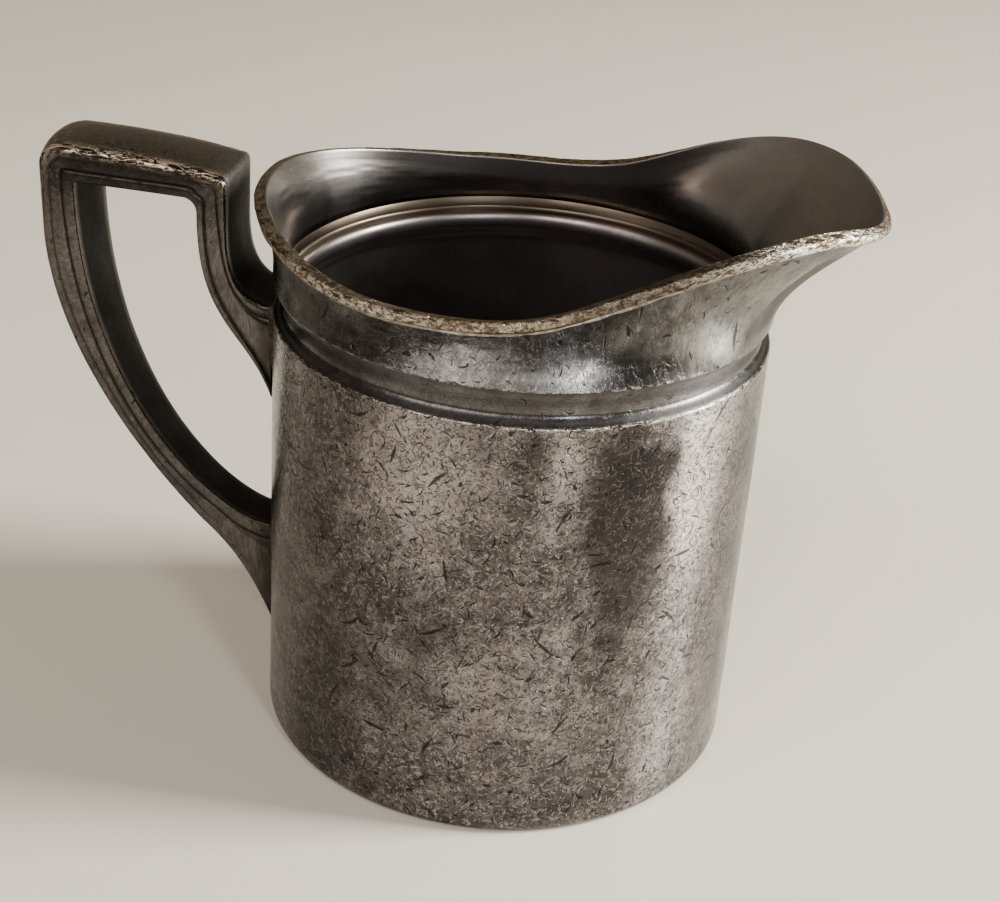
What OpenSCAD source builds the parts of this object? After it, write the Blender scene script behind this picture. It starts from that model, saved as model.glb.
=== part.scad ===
// Small silver-plated cream jug: straight cylindrical body with a rolled
// groove, a shaped collar drawn out into a pouring lip, an applied rim wire
// and a cast square-shouldered handle held by two solder joints.
// Origin: centre of the foot on the table plane. +Z up, +X towards the lip.
// All sizes in millimetres.

/* [Body] */
// Outside diameter of the straight body
body_d = 76; // [72:0.5:82]
// Sheet thickness of the body
wall = 1.3; // [1:0.1:1.8]
// Radius of the bottom corner
corner_r = 1.8; // [1.5:0.1:3]
// Height the bottom is pushed up inside its resting ring
base_lift = 1.2; // [0.6:0.1:2]
// Width of the flat resting ring
foot_ring_w = 2.2; // [1.5:0.1:4]
// Thickness of the bottom
base_t = 1.5; // [1:0.1:2]

/* [Groove] */
// Height of the groove's deepest line
groove_z = 71.6; // [71.2:0.1:72]
// Depth of the groove
groove_depth = 1.6; // [1.3:0.1:1.8]
// Rounding of the groove's lower edge
groove_edge_r = 0.6; // [0.4:0.1:0.8]
// How far the neck is set in under the collar
neck_set_in = 0.3; // [0.1:0.05:0.4]

/* [Collar] */
// Height of the collar's lower edge
collar_z = 75.4; // [75.1:0.1:75.9]
// Sheet thickness of the collar
collar_wall = 1.2; // [1:0.1:1.5]
// Inward lean of the collar's sides, in degrees
side_lean = 34; // [20:1:38]
// Outward lean of the collar's top at the back, in degrees
back_lean = 20; // [5:1:28]
// Outward lean of the collar's top at the lip, in degrees
lip_lean = 44; // [36:1:56]
// How far a soft ridge stands out on each side of the lip
lip_ridge = 0.6; // [0:0.1:1]
// Angle of the two soft ridges from the lip's middle, in degrees
lip_ridge_angle = 24; // [18:1:30]

/* [Rim path] */
// Rim radius at the tip of the lip
tip_r = 52.9; // [50:0.1:54]
// Rim radius at the narrowest place on each side
side_r = 34.8; // [34:0.1:36]
// Rim radius at the back, over the handle
back_r = 41.3; // [40:0.1:42]
// Half angle taken up by the lip, in degrees
lip_half_angle = 72; // [66:1:78]
// Rim height at its lowest place
low_z = 83.5; // [82:0.1:86]
// Angle of the lowest place from the lip, in degrees
low_angle = 112; // [104:1:120]
// Rim height at the back
back_z = 88.6; // [87:0.1:90]
// Height the rim would reach at the lip without its dip
peak_z = 98.5; // [96:0.1:99.5]
// Angle of the rim's highest place from the tip, in degrees
peak_angle = 17; // [14:1:22]
// Depth of the dip at the tip
tip_dip = 5.4; // [3:0.1:6]
// Half width of the dip, in degrees
tip_dip_angle = 25; // [20:0.5:30]

/* [Rim wire] */
// How far the rim wire stands out from the collar
rim_proud = 0.9; // [0.6:0.1:1.2]
// Height of the rim wire
rim_h = 1.6; // [1.4:0.1:2]
// Rounding of the rim wire's two top edges
rim_round = 0.6; // [0.4:0.05:0.65]
// Width of the solder line under the rim wire
rim_seam_w = 0.45; // [0.3:0.05:0.55]

/* [Handle] */
// Handle width across at the top bar
handle_top_w = 14.2; // [12:0.1:15]
// Handle width across at the lower tail
handle_low_w = 7.2; // [6.5:0.1:9]
// Distance from the jug's axis to the outside of the handle
handle_reach = 74.4; // [73:0.2:76]
// Height of the top of the handle
handle_top_z = 91; // [89.5:0.1:92]
// Height of the top of the finger gap
gap_top_z = 85.3; // [84:0.1:86]
// Height of the lower tail's tip
tail_tip_z = 9; // [8:0.5:11]
// Distance of the cut border line from the edge
border_w = 1.2; // [1:0.1:1.4]
// Width of the cut border line
line_w = 0.5; // [0.4:0.05:0.6]
// Depth of the cut border line
line_depth = 0.35; // [0.2:0.05:0.5]

/* [Solder] */
// Thickness of solder between handle and body
solder_gap = 0.3; // [0.2:0.05:0.4]
// Height of the solder fillet around each joint
solder_h = 0.7; // [0.5:0.05:0.9]
// How far the solder spreads past the handle
solder_spread = 0.8; // [0.5:0.1:1]

/* [Hidden] */
$fn = 128;
eps = 0.01;
body_r = body_d / 2;
wall_top_z = groove_z - 2;
edge_turn = 50;
// The collar's outside starts in line with the body.
collar_r = body_r;
ring_steps = 120;
collar_levels = 14;
// Share of the collar's height over which the sheet leaves vertical.
foot_blend = 0.3;
// Share of the lean that is left at the top of the collar's sides.
side_top_share = 0.55;
lip_lean_power = 0.8;
start_pull = 0.52;
end_pull = 0.36;
// Share by which both pulls are shorter at the lip.
lip_pull_less = 0.1;
lip_ridge_spread = 9;
dip_power = 1.5;
curve_steps = 24;
far = 200;

// ---- curve helpers ----
function clamp01(t) = min(1, max(0, t));
function ease(t) = (1 - cos(180 * clamp01(t))) / 2;
function arc(cx, cz, r, a0, a1, n) =
    [for (i = [0 : n]) [cx + r * cos(a0 + (a1 - a0) * i / n),
                        cz + r * sin(a0 + (a1 - a0) * i / n)]];
function bezier_at(p, t) =
    pow(1 - t, 3) * p[0] + 3 * pow(1 - t, 2) * t * p[1]
    + 3 * (1 - t) * t * t * p[2] + pow(t, 3) * p[3];
function bezier(p, n) = [for (i = [0 : n]) bezier_at(p, i / n)];
function reversed(v) = [for (i = [len(v) - 1 : -1 : 0]) v[i]];
function unit(v) = v / norm(v);
// Moves an open path sideways by d, to the left of its direction.
function shifted(p, d) =
    [for (i = [0 : len(p) - 1])
        let (u = unit(p[min(i + 1, len(p) - 1)] - p[max(i - 1, 0)]))
        p[i] + d * [-u[1], u[0]]];

// ---- rim path: a is the angle from the lip, 0 to 180 ----
function fold(a) = a > 180 ? 360 - a : a;
function lip_part(a) = ease(1 - a / lip_half_angle);
function back_part(a) = ease((a - lip_half_angle) / (180 - lip_half_angle));
function side_part(a) = 1 - lip_part(a) - back_part(a);
function rim_r(a) =
    side_r + (tip_r - side_r) * lip_part(a) + (back_r - side_r) * back_part(a);
function rim_z(a) =
    low_z + (back_z - low_z) * ease((a - low_angle) / (180 - low_angle))
    + (peak_z - low_z) * pow(ease((low_angle - a) / (low_angle - peak_angle)), 2)
    - tip_dip / pow(1 + pow(a / tip_dip_angle, 2), dip_power);

// ---- collar section: lean is measured outward from vertical ----
function start_lean(a) = -side_lean * side_part(a);
function top_lean(a) =
    lip_lean * pow(lip_part(a), lip_lean_power) + back_lean * back_part(a)
    - side_lean * side_top_share * side_part(a);
function along(lean) = [sin(lean), cos(lean)];
function outward(lean) = [cos(lean), -sin(lean)];
function collar_end(a) =
    let (l = top_lean(a))
    [rim_r(a) - rim_proud * cos(l) - rim_h * max(0, sin(l)),
     rim_z(a) - collar_wall * max(0, sin(l)) - rim_h * cos(l)];
function ridge(a) = lip_ridge * exp(-pow((a - lip_ridge_angle) / lip_ridge_spread, 2));
function collar_ctrl(a) =
    let (p0 = [collar_r, collar_z], p3 = collar_end(a), c = norm(p3 - p0),
         less = lip_pull_less * lip_part(a))
    [p0,
     p0 + (start_pull - less) * (p3[1] - p0[1]) * along(start_lean(a)) + [ridge(a), 0],
     p3 - (end_pull - less) * c * along(top_lean(a)) + [ridge(a), 0],
     p3];
function collar_dir(a, t) =
    let (p = collar_ctrl(a),
         d = pow(1 - t, 2) * (p[1] - p[0]) + 2 * (1 - t) * t * (p[2] - p[1])
             + t * t * (p[3] - p[2]))
    atan2(d[0], d[1]);
function collar_out(a, t) = bezier_at(collar_ctrl(a), t);
function collar_in(a, t) =
    collar_out(a, t) - collar_wall * outward(collar_dir(a, t) * ease(t / foot_blend));
function collar_loop(a) = concat(
    [for (j = [0 : collar_levels]) collar_out(a, j / collar_levels)],
    [for (j = [collar_levels : -1 : 0]) collar_in(a, j / collar_levels)]);

// ---- rim wire section: x outward across the sheet, y along it ----
function rim_section() = concat(
    [[-collar_wall, 0], [0, 0], [rim_proud, 0]],
    arc(rim_proud - rim_round, rim_h - rim_round, rim_round, 0, 90, 4),
    arc(rim_round - collar_wall, rim_h - rim_round, rim_round, 90, 180, 4));
function rim_loop(a) =
    let (l = collar_dir(a, 1), p = collar_end(a))
    [for (q = rim_section()) p + q[0] * outward(l) + q[1] * along(l)];
function seam_loop(a) =
    let (l = collar_dir(a, 1), p = collar_end(a))
    [collar_out(a, 1 - 1 / collar_levels), p + rim_seam_w * outward(l), p];

// Closed band swept once round the axis from one section loop per angle.
module ring_band(loops) {
    n = len(loops);
    m = len(loops[0]);
    pts = [for (i = [0 : n - 1]) for (p = loops[i])
        [p[0] * cos(360 * i / n), p[0] * sin(360 * i / n), p[1]]];
    tris = [for (i = [0 : n - 1]) for (j = [0 : m - 1])
        let (i2 = (i + 1) % n, j2 = (j + 1) % m)
        each [[i * m + j, i * m + j2, i2 * m + j2],
              [i * m + j, i2 * m + j2, i2 * m + j]]];
    polyhedron(points = pts, faces = tris, convexity = 8);
}

// ---- body section, from the axis outwards and back inside ----
// The groove falls gently from the collar and turns out sharply into the wall.
function groove_outside() =
    let (er = groove_edge_r, deep = [body_r - groove_depth, groove_z],
         lip = [body_r - er * (1 - cos(edge_turn)), wall_top_z + er * sin(edge_turn)])
    concat(
        arc(body_r - er, wall_top_z, er, 0, edge_turn, 5),
        bezier([lip, lip + 0.8 * [-sin(edge_turn), cos(edge_turn)], deep - [0, 0.7], deep], 8),
        bezier([deep, deep + [0, 1.3], [body_r - neck_set_in - 0.4, collar_z - 1.1],
                [body_r - neck_set_in, collar_z]], 8));
function groove_inside() =
    let (in_r = body_r - wall, ridge_r = in_r - groove_depth,
         rise = [collar_r - collar_wall, collar_z - 0.5])
    concat(
        [[collar_r - collar_wall, collar_z]],
        bezier([rise, rise - [0.65, 1], [ridge_r, groove_z + 1.9], [ridge_r, groove_z]], 10),
        bezier([[ridge_r, groove_z], [ridge_r, groove_z - 1.6], [in_r, groove_z - 2],
                [in_r, groove_z - 4]], 10));
function shell_outside() =
    let (foot_x = body_r - corner_r)
    concat(
        [[0, base_lift], [foot_x - foot_ring_w - base_lift, base_lift],
         [foot_x - foot_ring_w, 0]],
        arc(foot_x, corner_r, corner_r, -90, 0, 8),
        groove_outside());
function shell_inside() =
    let (fr = corner_r + 1, in_r = body_r - wall)
    concat(
        groove_inside(),
        reversed(arc(in_r - fr, base_lift + base_t + fr, fr, -90, 0, 8)),
        [[0, base_lift + base_t]]);

module body_shell() {
    color("#8d8886") rotate_extrude() polygon(concat(shell_outside(), shell_inside()));
}

module spout_collar() {
    color("#7f7c7c")
        ring_band([for (i = [0 : ring_steps - 1]) collar_loop(fold(360 * i / ring_steps))]);
}

module rim_wire() {
    color("#b09a72")
        ring_band([for (i = [0 : ring_steps - 1]) rim_loop(fold(360 * i / ring_steps))]);
}

module rim_solder_seam() {
    color("#c9c4bb")
        ring_band([for (i = [0 : ring_steps - 1]) seam_loop(fold(360 * i / ring_steps))]);
}

// ---- handle outline in the X, Z plane, x negative ----
outer_x = -handle_reach;
gap_x = outer_x + 5.8;
inner_x = -49.5;
inner_back_x = -44.8;
root_x = -body_r + 4;
corner_out_r = 3.4;
corner_in_r = 2.2;
outer_knee = [-50.6, 27.6];
low_gap = [-38.5, 28.7];
up_tail = [-38.6, 52.6];
up_seat = [-38, 68.6];
function top_edge() =
    bezier([[inner_back_x - 1.2, handle_top_z - 2], [-52, handle_top_z - 0.9],
            [-60, handle_top_z], [outer_x + corner_out_r, handle_top_z]], curve_steps);
function outer_corner() =
    arc(outer_x + corner_out_r, handle_top_z - corner_out_r, corner_out_r, 90, 180, 8);
function outer_limb() = concat(
    bezier([[outer_x, 79], [outer_x - 0.6, 58.5], [-62, 39.5], outer_knee], curve_steps),
    bezier([outer_knee, [-43.5, 21.2], [-41.8, 16.5], [-38.4, tail_tip_z]], curve_steps));
function gap_outer() =
    bezier([low_gap, [-47, 28.3], [-68.6, 47], [gap_x, 83.5]], curve_steps);
function gap_top() = concat(
    [[gap_x, gap_top_z - 0.4], [gap_x + 0.4, gap_top_z]],
    arc(inner_x - corner_in_r, gap_top_z - 0.3 - corner_in_r, corner_in_r, 90, 0, 8));
function gap_inner() =
    bezier([[inner_x, 81.5], [inner_x, 64], [-42, 64], up_tail], curve_steps);
function seat_edge() =
    bezier([up_seat, [-43.6, 68.8], [inner_back_x, 73.5], [inner_back_x, 79.5]], curve_steps);
function handle_outline() = concat(
    top_edge(), outer_corner(), outer_limb(),
    [[root_x, tail_tip_z], [root_x, low_gap[1]]],
    gap_outer(), gap_top(), gap_inner(),
    [[root_x, up_tail[1]], [root_x, up_seat[1]]],
    seat_edge(),
    [[inner_back_x, handle_top_z - 3.2]]);
// Thin strip that follows a path at a fixed distance from it.
function strip(p, d) = concat(shifted(p, d), reversed(shifted(p, d + line_w)));

module across(points) {
    rotate([90, 0, 0]) linear_extrude(height = far, center = true) polygon(points);
}

// Half width of the handle against height, with most of the taper in the middle.
function side_edge() =
    bezier([[handle_low_w / 2, tail_tip_z - 1], [handle_low_w / 2 + 0.9, 60],
            [handle_top_w / 2 - 0.3, 64], [handle_top_w / 2, handle_top_z + 1]], 12);
function handle_w(z) = 2 * lookup(z, [for (p = side_edge()) [p[1], p[0]]]);

// Prism between the handle's two side faces.
module side_wedge(cut) {
    rotate([90, 0, -90]) linear_extrude(height = far, center = true)
        polygon(concat([for (p = side_edge()) [p[0] - cut, p[1]]],
                       [for (p = reversed(side_edge())) [cut - p[0], p[1]]]));
}

module handle_blank() {
    intersection() {
        across(handle_outline());
        side_wedge(0);
    }
}

module border_lines() {
    difference() {
        union() {
            across(strip(gap_outer(), border_w));
            across(strip(gap_inner(), border_w));
            across(strip([for (p = seat_edge()) if (p[0] < -body_r - 2) p], border_w));
            translate([0, 0, border_w]) across(strip([[gap_x - border_w, gap_top_z],
                [inner_x - corner_in_r, gap_top_z]], 0));
        }
        side_wedge(line_depth);
    }
}

module handle() {
    color("#6b655f") difference() {
        handle_blank();
        cylinder(r = body_r + solder_gap, h = far);
        border_lines();
    }
}

// Thin curved pad on the body, filling the gap and rising around the handle.
module solder_pad(z0, z1, w0, w1) {
    difference() {
        intersection() {
            difference() {
                cylinder(r = body_r + solder_h, h = far);
                cylinder(r = body_r, h = far);
            }
            rotate([90, 0, -90]) linear_extrude(height = far)
                polygon([[-w0 / 2, z0], [w0 / 2, z0], [w1 / 2, z1], [-w1 / 2, z1]]);
        }
        difference() {
            handle_blank();
            cylinder(r = body_r + solder_gap, h = far);
        }
    }
}

module upper_solder_joint() {
    z0 = up_tail[1] - solder_spread;
    z1 = up_seat[1] + solder_spread;
    color("#7a5b45")
        solder_pad(z0, z1, handle_w(z0) + 2 * solder_spread, handle_w(z1) + 2 * solder_spread);
}

module lower_solder_joint() {
    z0 = tail_tip_z - solder_spread;
    z1 = low_gap[1] + solder_spread;
    color("#7a5b45")
        solder_pad(z0, z1, handle_w(z0) + 2 * solder_spread, handle_w(z1) + 2 * solder_spread);
}

body_shell();
spout_collar();
rim_wire();
rim_solder_seam();
handle();
upper_solder_joint();
lower_solder_joint();
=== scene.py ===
"""Looks for the cream jug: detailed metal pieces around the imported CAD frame."""
import math

import bmesh
import bpy
import numpy as np
from mathutils import Matrix, Vector


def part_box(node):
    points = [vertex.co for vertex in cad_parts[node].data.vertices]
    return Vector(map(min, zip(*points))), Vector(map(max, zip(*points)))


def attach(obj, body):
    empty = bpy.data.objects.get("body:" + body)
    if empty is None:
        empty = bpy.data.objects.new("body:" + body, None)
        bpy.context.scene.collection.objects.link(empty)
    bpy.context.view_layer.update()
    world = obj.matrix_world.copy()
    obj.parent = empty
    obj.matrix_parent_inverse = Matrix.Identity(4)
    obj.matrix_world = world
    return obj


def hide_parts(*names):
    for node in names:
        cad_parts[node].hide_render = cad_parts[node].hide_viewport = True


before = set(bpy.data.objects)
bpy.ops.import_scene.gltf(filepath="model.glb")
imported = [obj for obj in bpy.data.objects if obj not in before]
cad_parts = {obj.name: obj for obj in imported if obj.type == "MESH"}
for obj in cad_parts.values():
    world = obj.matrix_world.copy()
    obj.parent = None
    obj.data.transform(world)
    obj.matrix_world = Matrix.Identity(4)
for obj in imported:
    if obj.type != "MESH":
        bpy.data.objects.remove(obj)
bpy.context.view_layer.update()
MM = 0.001

# ---------------------------------------------------------------- sizes, mm
shell_lo, shell_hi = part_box("body_shell")
BODY_R = (shell_hi.x - shell_lo.x) / 2 / MM
COLLAR_Z = shell_hi.z / MM
WALL, COLLAR_WALL = 1.3, 1.2
CORNER_R, BASE_LIFT, FOOT_W, BASE_T = 1.8, 1.2, 2.2, 1.5
GROOVE_Z, GROOVE_DEPTH, GROOVE_EDGE, NECK_IN = 71.6, 1.6, 0.6, 0.3
RIM_PROUD, RIM_H, RIM_ROUND = 0.9, 1.6, 0.6
# The rim's path: its radius and height at the sides, how far the lip and the back
# go out and up from there, and how far the lip dips again at its tip. The lip takes
# up LIP_ANGLE degrees on each side; a crease runs up the collar beside it.
LIP_ANGLE = 72
MOUTH_R, LIP_OUT, BACK_OUT = 34.8, 18.1, 6.5
MOUTH_Z, LIP_UP, LIP_DIP, BACK_UP = 83.5, 15.0, 5.4, 5.1
CREASE_ANGLE = 25
# How far the collar's outer face leans out or in, in degrees.
SIDE_LEAN, LIP_LEAN, BACK_LEAN = 34, 44, 20
HANDLE_LO, HANDLE_HI = (Vector(c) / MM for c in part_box("handle"))
EDGE_X = HANDLE_LO.x + 0.4
EDGE_Z = HANDLE_HI.z - 0.4
TAIL_Z = 9.0
TOP_W, LOW_W = 14.2, 7.2
UPPER_ROOT = (52.6, 68.6)
LOWER_ROOT = (TAIL_Z, 28.7)
# How many steps go round the body and collar, and round the finer rim and seam.
TURN_STEPS, RIM_STEPS = 640, 960
# The ring pieces' own surface coordinates use this radius.
UV_R = 38.0


# ------------------------------------------------------------- math helpers
def ease(t):
    """0 to 1 along a cosine, held outside."""
    t = np.clip(t, 0.0, 1.0)
    return (1 - np.cos(np.pi * t)) / 2


def smooth(t):
    """0 to 1 along a cubic, held outside."""
    t = np.clip(t, 0.0, 1.0)
    return t * t * (3 - 2 * t)


def noise(u, v, nu, nv, seed):
    """Smooth noise from -1 to 1: u wraps round once from 0 to 1, v runs 0 to 1."""
    g = np.random.default_rng(seed).random((nu, nv + 2)) * 2 - 1
    x, y = u * nu, np.clip(v, 0, 1) * nv
    i, j = np.floor(x).astype(int), np.floor(y).astype(int)
    fx, fy = smooth(x - i), smooth(y - j)
    a, b = g[i % nu, j], g[(i + 1) % nu, j]
    c, d = g[i % nu, j + 1], g[(i + 1) % nu, j + 1]
    return (a * (1 - fx) + b * fx) * (1 - fy) + (c * (1 - fx) + d * fx) * fy


def off_angle(deg, at):
    """How many degrees deg is past the angle at, from -180 to 180."""
    return (deg - at + 180) % 360 - 180


def run_length(p):
    """The distance along the polyline p at each of its points."""
    return np.concatenate([[0], np.cumsum(np.linalg.norm(np.diff(p, axis=0), axis=1))])


def arc(cx, cz, r, a0, a1, n):
    """n + 1 points on a circle, from the angle a0 to a1 in degrees."""
    a = np.radians(np.linspace(a0, a1, n + 1))
    return np.stack([cx + r * np.cos(a), cz + r * np.sin(a)], 1)


def bezier(p, n):
    """n + 1 points on the cubic curve with the four control points p."""
    t = np.linspace(0, 1, n + 1)[:, None]
    p = np.array(p, float)
    return ((1 - t) ** 3 * p[0] + 3 * (1 - t) ** 2 * t * p[1]
            + 3 * (1 - t) * t * t * p[2] + t ** 3 * p[3])


def resample(p, n):
    """n + 1 points spread evenly along the polyline p."""
    p = np.array(p, float)
    s = run_length(p)
    q = np.linspace(0, s[-1], n + 1)
    return np.stack([np.interp(q, s, p[:, k]) for k in range(p.shape[1])], 1)


def chain(*parts):
    """One array from several lists of points."""
    return np.concatenate([np.array(p, float) for p in parts])


# -------------------------------------------------------------- mesh makers
def make_mesh(name, verts, quads, uvs, mats, mat_of=None, masks=None):
    """verts in mm; uvs one (u, v) per face corner, in mm; masks one RGBA per vertex.
    Mask: red worn through, green dirt in hollows and painted shade, blue tarnishing and painted shade, 1 -
    alpha rubbed lighter and painted highlight."""
    me = bpy.data.meshes.new(name)
    me.from_pydata((np.asarray(verts) * MM).tolist(), [], [list(q) for q in quads])
    for m in mats:
        me.materials.append(m)
    if mat_of is not None:
        me.polygons.foreach_set("material_index", np.asarray(mat_of, np.int32))
    me.polygons.foreach_set("use_smooth", np.ones(len(me.polygons), bool))
    layer = me.uv_layers.new(name="surf")
    layer.data.foreach_set("uv", np.asarray(uvs, np.float32).ravel())
    if masks is not None:
        attr = me.color_attributes.new(name="mask", type="FLOAT_COLOR", domain="POINT")
        col = np.ones((len(verts), 4), np.float32)
        col[:, :masks.shape[1]] = masks
        attr.data.foreach_set("color", col.ravel())
    me.validate()
    me.update()
    ob = bpy.data.objects.new(name, me)
    bpy.context.scene.collection.objects.link(ob)
    return ob


def grid_faces(nu, nv, wrap_v):
    """Quads of a grid that wraps in u, as vertex numbers i * nv + j."""
    mv = nv if wrap_v else nv - 1
    i, j = np.meshgrid(np.arange(nu), np.arange(mv), indexing="ij")
    i2, j2 = (i + 1) % nu, (j + 1) % nv
    q = np.stack([i * nv + j, i2 * nv + j, i2 * nv + j2, i * nv + j2], -1)
    return q.reshape(-1, 4), i.ravel(), j.ravel()


def ring(name, radial, mats, mat_of_level=None, masks=None, closed=True):
    """radial is (angles, levels, 3): x, y, z in mm. The levels form a loop if closed."""
    nu, nv = radial.shape[:2]
    quads, i, j = grid_faces(nu, nv, closed)
    step = 2 * math.pi * UV_R / nu
    prof = radial[nu // 4]
    seg = np.linalg.norm(np.diff(prof, axis=0), axis=1)
    s = np.concatenate([[0], np.cumsum(seg), [seg.sum() + np.linalg.norm(prof[0] - prof[-1])]])
    u0, u1 = i * step, (i + 1) * step
    v0, v1 = s[j], s[j + 1]
    uvs = np.stack([u0, v0, u1, v0, u1, v1, u0, v1], -1)
    mat_of = None if mat_of_level is None else np.asarray(mat_of_level)[j]
    m = None if masks is None else masks.reshape(-1, masks.shape[-1])
    return make_mesh(name, radial.reshape(-1, 3), quads, uvs, mats, mat_of, m)


def turn(r, z, theta):
    """(angles, levels) radii and heights to points."""
    return np.stack([r * np.cos(theta), r * np.sin(theta), z], -1)


# ------------------------------------------------------------ node helpers
def shade(colour, k=1.0):
    """The colour k times as light, with an alpha of 1."""
    return (*(k * c for c in colour), 1)


class Nodes:
    """Short forms for building a material's node tree."""

    def __init__(self, name):
        self.mat = bpy.data.materials.new(name)
        self.mat.use_nodes = True
        self.nt = self.mat.node_tree
        self.nt.nodes.clear()
        self.out = self.new("ShaderNodeOutputMaterial")
        self.bsdf = self.new("ShaderNodeBsdfPrincipled")
        self.link(self.bsdf.outputs[0], self.out.inputs["Surface"])

    def new(self, kind, **props):
        n = self.nt.nodes.new(kind)
        for k, v in props.items():
            setattr(n, k, v)
        return n

    def link(self, a, b):
        self.nt.links.new(a, b)

    def put(self, socket, value):
        """Links value to the socket if it is a socket too, else sets it."""
        if hasattr(value, "is_linked"):
            self.link(value, socket)
        else:
            socket.default_value = value

    def uv(self, su=1.0, sv=1.0, off=0.0):
        """The surface's own coordinates in mm, scaled."""
        n = self.new("ShaderNodeUVMap", uv_map="surf")
        m = self.new("ShaderNodeMapping")
        m.inputs["Scale"].default_value = (su, sv, 1)
        m.inputs["Location"].default_value = (off, off * 0.37, 0)
        self.link(n.outputs[0], m.inputs[0])
        return m.outputs[0]

    def pos(self, scale=1.0, off=0.0):
        """The piece's own coordinates in mm, scaled."""
        n = self.new("ShaderNodeTexCoord")
        m = self.new("ShaderNodeMapping")
        k = 1000.0 * scale
        m.inputs["Scale"].default_value = (k, k, k)
        m.inputs["Location"].default_value = (off, off * 0.7, off * 1.3)
        self.link(n.outputs["Object"], m.inputs[0])
        return m.outputs[0]

    def noise(self, vec, detail, rough, distort):
        """Smooth noise, about 0 to 1 round 0.5."""
        n = self.new("ShaderNodeTexNoise", noise_dimensions="3D", noise_type="FBM")
        self.link(vec, n.inputs["Vector"])
        n.inputs["Scale"].default_value = 1.0
        n.inputs["Detail"].default_value = detail
        n.inputs["Roughness"].default_value = rough
        n.inputs["Distortion"].default_value = distort
        return n.outputs[0]

    def ramp(self, fac, *stops):
        """A colour for each place of fac: stops are (place, colour)."""
        n = self.new("ShaderNodeValToRGB")
        el = n.color_ramp.elements
        while len(el) < len(stops):
            el.new(0.5)
        for e, (p, c) in zip(el, stops):
            e.position = p
            e.color = shade(c)
        self.link(fac, n.inputs[0])
        return n.outputs[0]

    def math(self, op, a, b=0.0, clamp=False):
        n = self.new("ShaderNodeMath", operation=op, use_clamp=clamp)
        self.put(n.inputs[0], a)
        self.put(n.inputs[1], b)
        return n.outputs[0]

    def times(self, a, b):
        return self.math("MULTIPLY", a, b)

    def plus(self, a, b):
        return self.math("ADD", a, b)

    def minus(self, a, b):
        return self.math("SUBTRACT", a, b)

    def highest(self, *values):
        """The highest of the values at each place."""
        top = values[0]
        for v in values[1:]:
            top = self.math("MAXIMUM", top, v)
        return top

    def span(self, value, a, b, lo=0.0, hi=1.0):
        """value from a..b to lo..hi, smoothly and clamped."""
        n = self.new("ShaderNodeMapRange", interpolation_type="SMOOTHSTEP")
        self.put(n.inputs["Value"], value)
        n.inputs["From Min"].default_value = a
        n.inputs["From Max"].default_value = b
        n.inputs["To Min"].default_value = lo
        n.inputs["To Max"].default_value = hi
        return n.outputs[0]

    def mix(self, fac, a, b):
        """The colour a where fac is 0, going over to b where it is 1."""
        n = self.new("ShaderNodeMix", data_type="RGBA", blend_type="MIX")
        self.put(n.inputs[0], fac)
        self.put(n.inputs[6], a)
        self.put(n.inputs[7], b)
        return n.outputs[2]

    def mask(self):
        """The vertex mask: worn through, dirt and painted shade, tarnishing and painted shade, rubbed
        lighter and painted highlight.
        """
        n = self.new("ShaderNodeAttribute", attribute_name="mask")
        s = self.new("ShaderNodeSeparateColor")
        self.link(n.outputs["Color"], s.inputs[0])
        return s.outputs[0], s.outputs[1], s.outputs[2], self.minus(1.0, n.outputs["Alpha"])

    def bump(self, height, strength, distance):
        """A normal for small relief, with the distance in mm."""
        n = self.new("ShaderNodeBump")
        n.inputs["Strength"].default_value = strength
        n.inputs["Distance"].default_value = distance * MM
        self.link(height, n.inputs["Height"])
        return n.outputs[0]

    def strokes(self, scale, width, off, keep):
        """Short curved strokes: 1 on a stroke, 0 off it. scale is how many per mm."""
        vec = self.uv(scale, scale, off)
        wave = self.noise(vec, 2.0, 0.5, 1.2)
        near = self.math("ABSOLUTE", self.minus(wave, 0.5))
        thin = self.span(near, width, width * 0.25)
        gate = self.noise(self.uv(scale * 1.15, scale * 1.15, off + 7.3), 1.0, 0.5, 0.4)
        return self.times(thin, self.span(gate, keep - 0.04, keep + 0.05))

    def dashes(self, cells, length, width, off, keep):
        """Single nicks at random places and angles: 1 on a nick, 0 off it.
        cells is how many cells there are per mm, length and width are in cells, and
        keep is the share of cells that have a nick."""
        vec = self.uv(cells, cells, off)
        vor = self.new("ShaderNodeTexVoronoi", voronoi_dimensions="2D", feature="F1")
        self.link(vec, vor.inputs["Vector"])
        vor.inputs["Scale"].default_value = 1.0
        sub = self.new("ShaderNodeVectorMath", operation="SUBTRACT")
        self.link(vec, sub.inputs[0])
        self.link(vor.outputs["Position"], sub.inputs[1])
        white = self.new("ShaderNodeTexWhiteNoise", noise_dimensions="2D")
        self.link(vor.outputs["Position"], white.inputs["Vector"])
        parts = self.new("ShaderNodeSeparateColor")
        self.link(white.outputs["Color"], parts.inputs[0])
        rot = self.new("ShaderNodeVectorRotate", rotation_type="Z_AXIS")
        self.link(sub.outputs[0], rot.inputs["Vector"])
        self.link(self.times(parts.outputs[0], math.pi), rot.inputs["Angle"])
        xyz = self.new("ShaderNodeSeparateXYZ")
        self.link(rot.outputs[0], xyz.inputs[0])
        bend = self.minus(self.times(parts.outputs[2], 4.0), 1.2)
        bow = self.times(self.times(xyz.outputs[0], xyz.outputs[0]), bend)
        ax = self.math("ABSOLUTE", xyz.outputs[0])
        ay = self.math("ABSOLUTE", self.minus(xyz.outputs[1], bow))
        size = self.plus(self.times(parts.outputs[1], 0.7), 0.45)
        half = self.times(size, length / 2)
        along = self.math("SUBTRACT", 1.0, self.math("DIVIDE", ax, half), clamp=True)
        wide = self.times(self.math("POWER", along, 0.6), width)
        across = self.math("SUBTRACT", 1.0, self.math("DIVIDE", ay, wide), clamp=True)
        on = self.times(self.math("LESS_THAN", parts.outputs[2], keep),
                       self.math("GREATER_THAN", along, 0.02))
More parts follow.
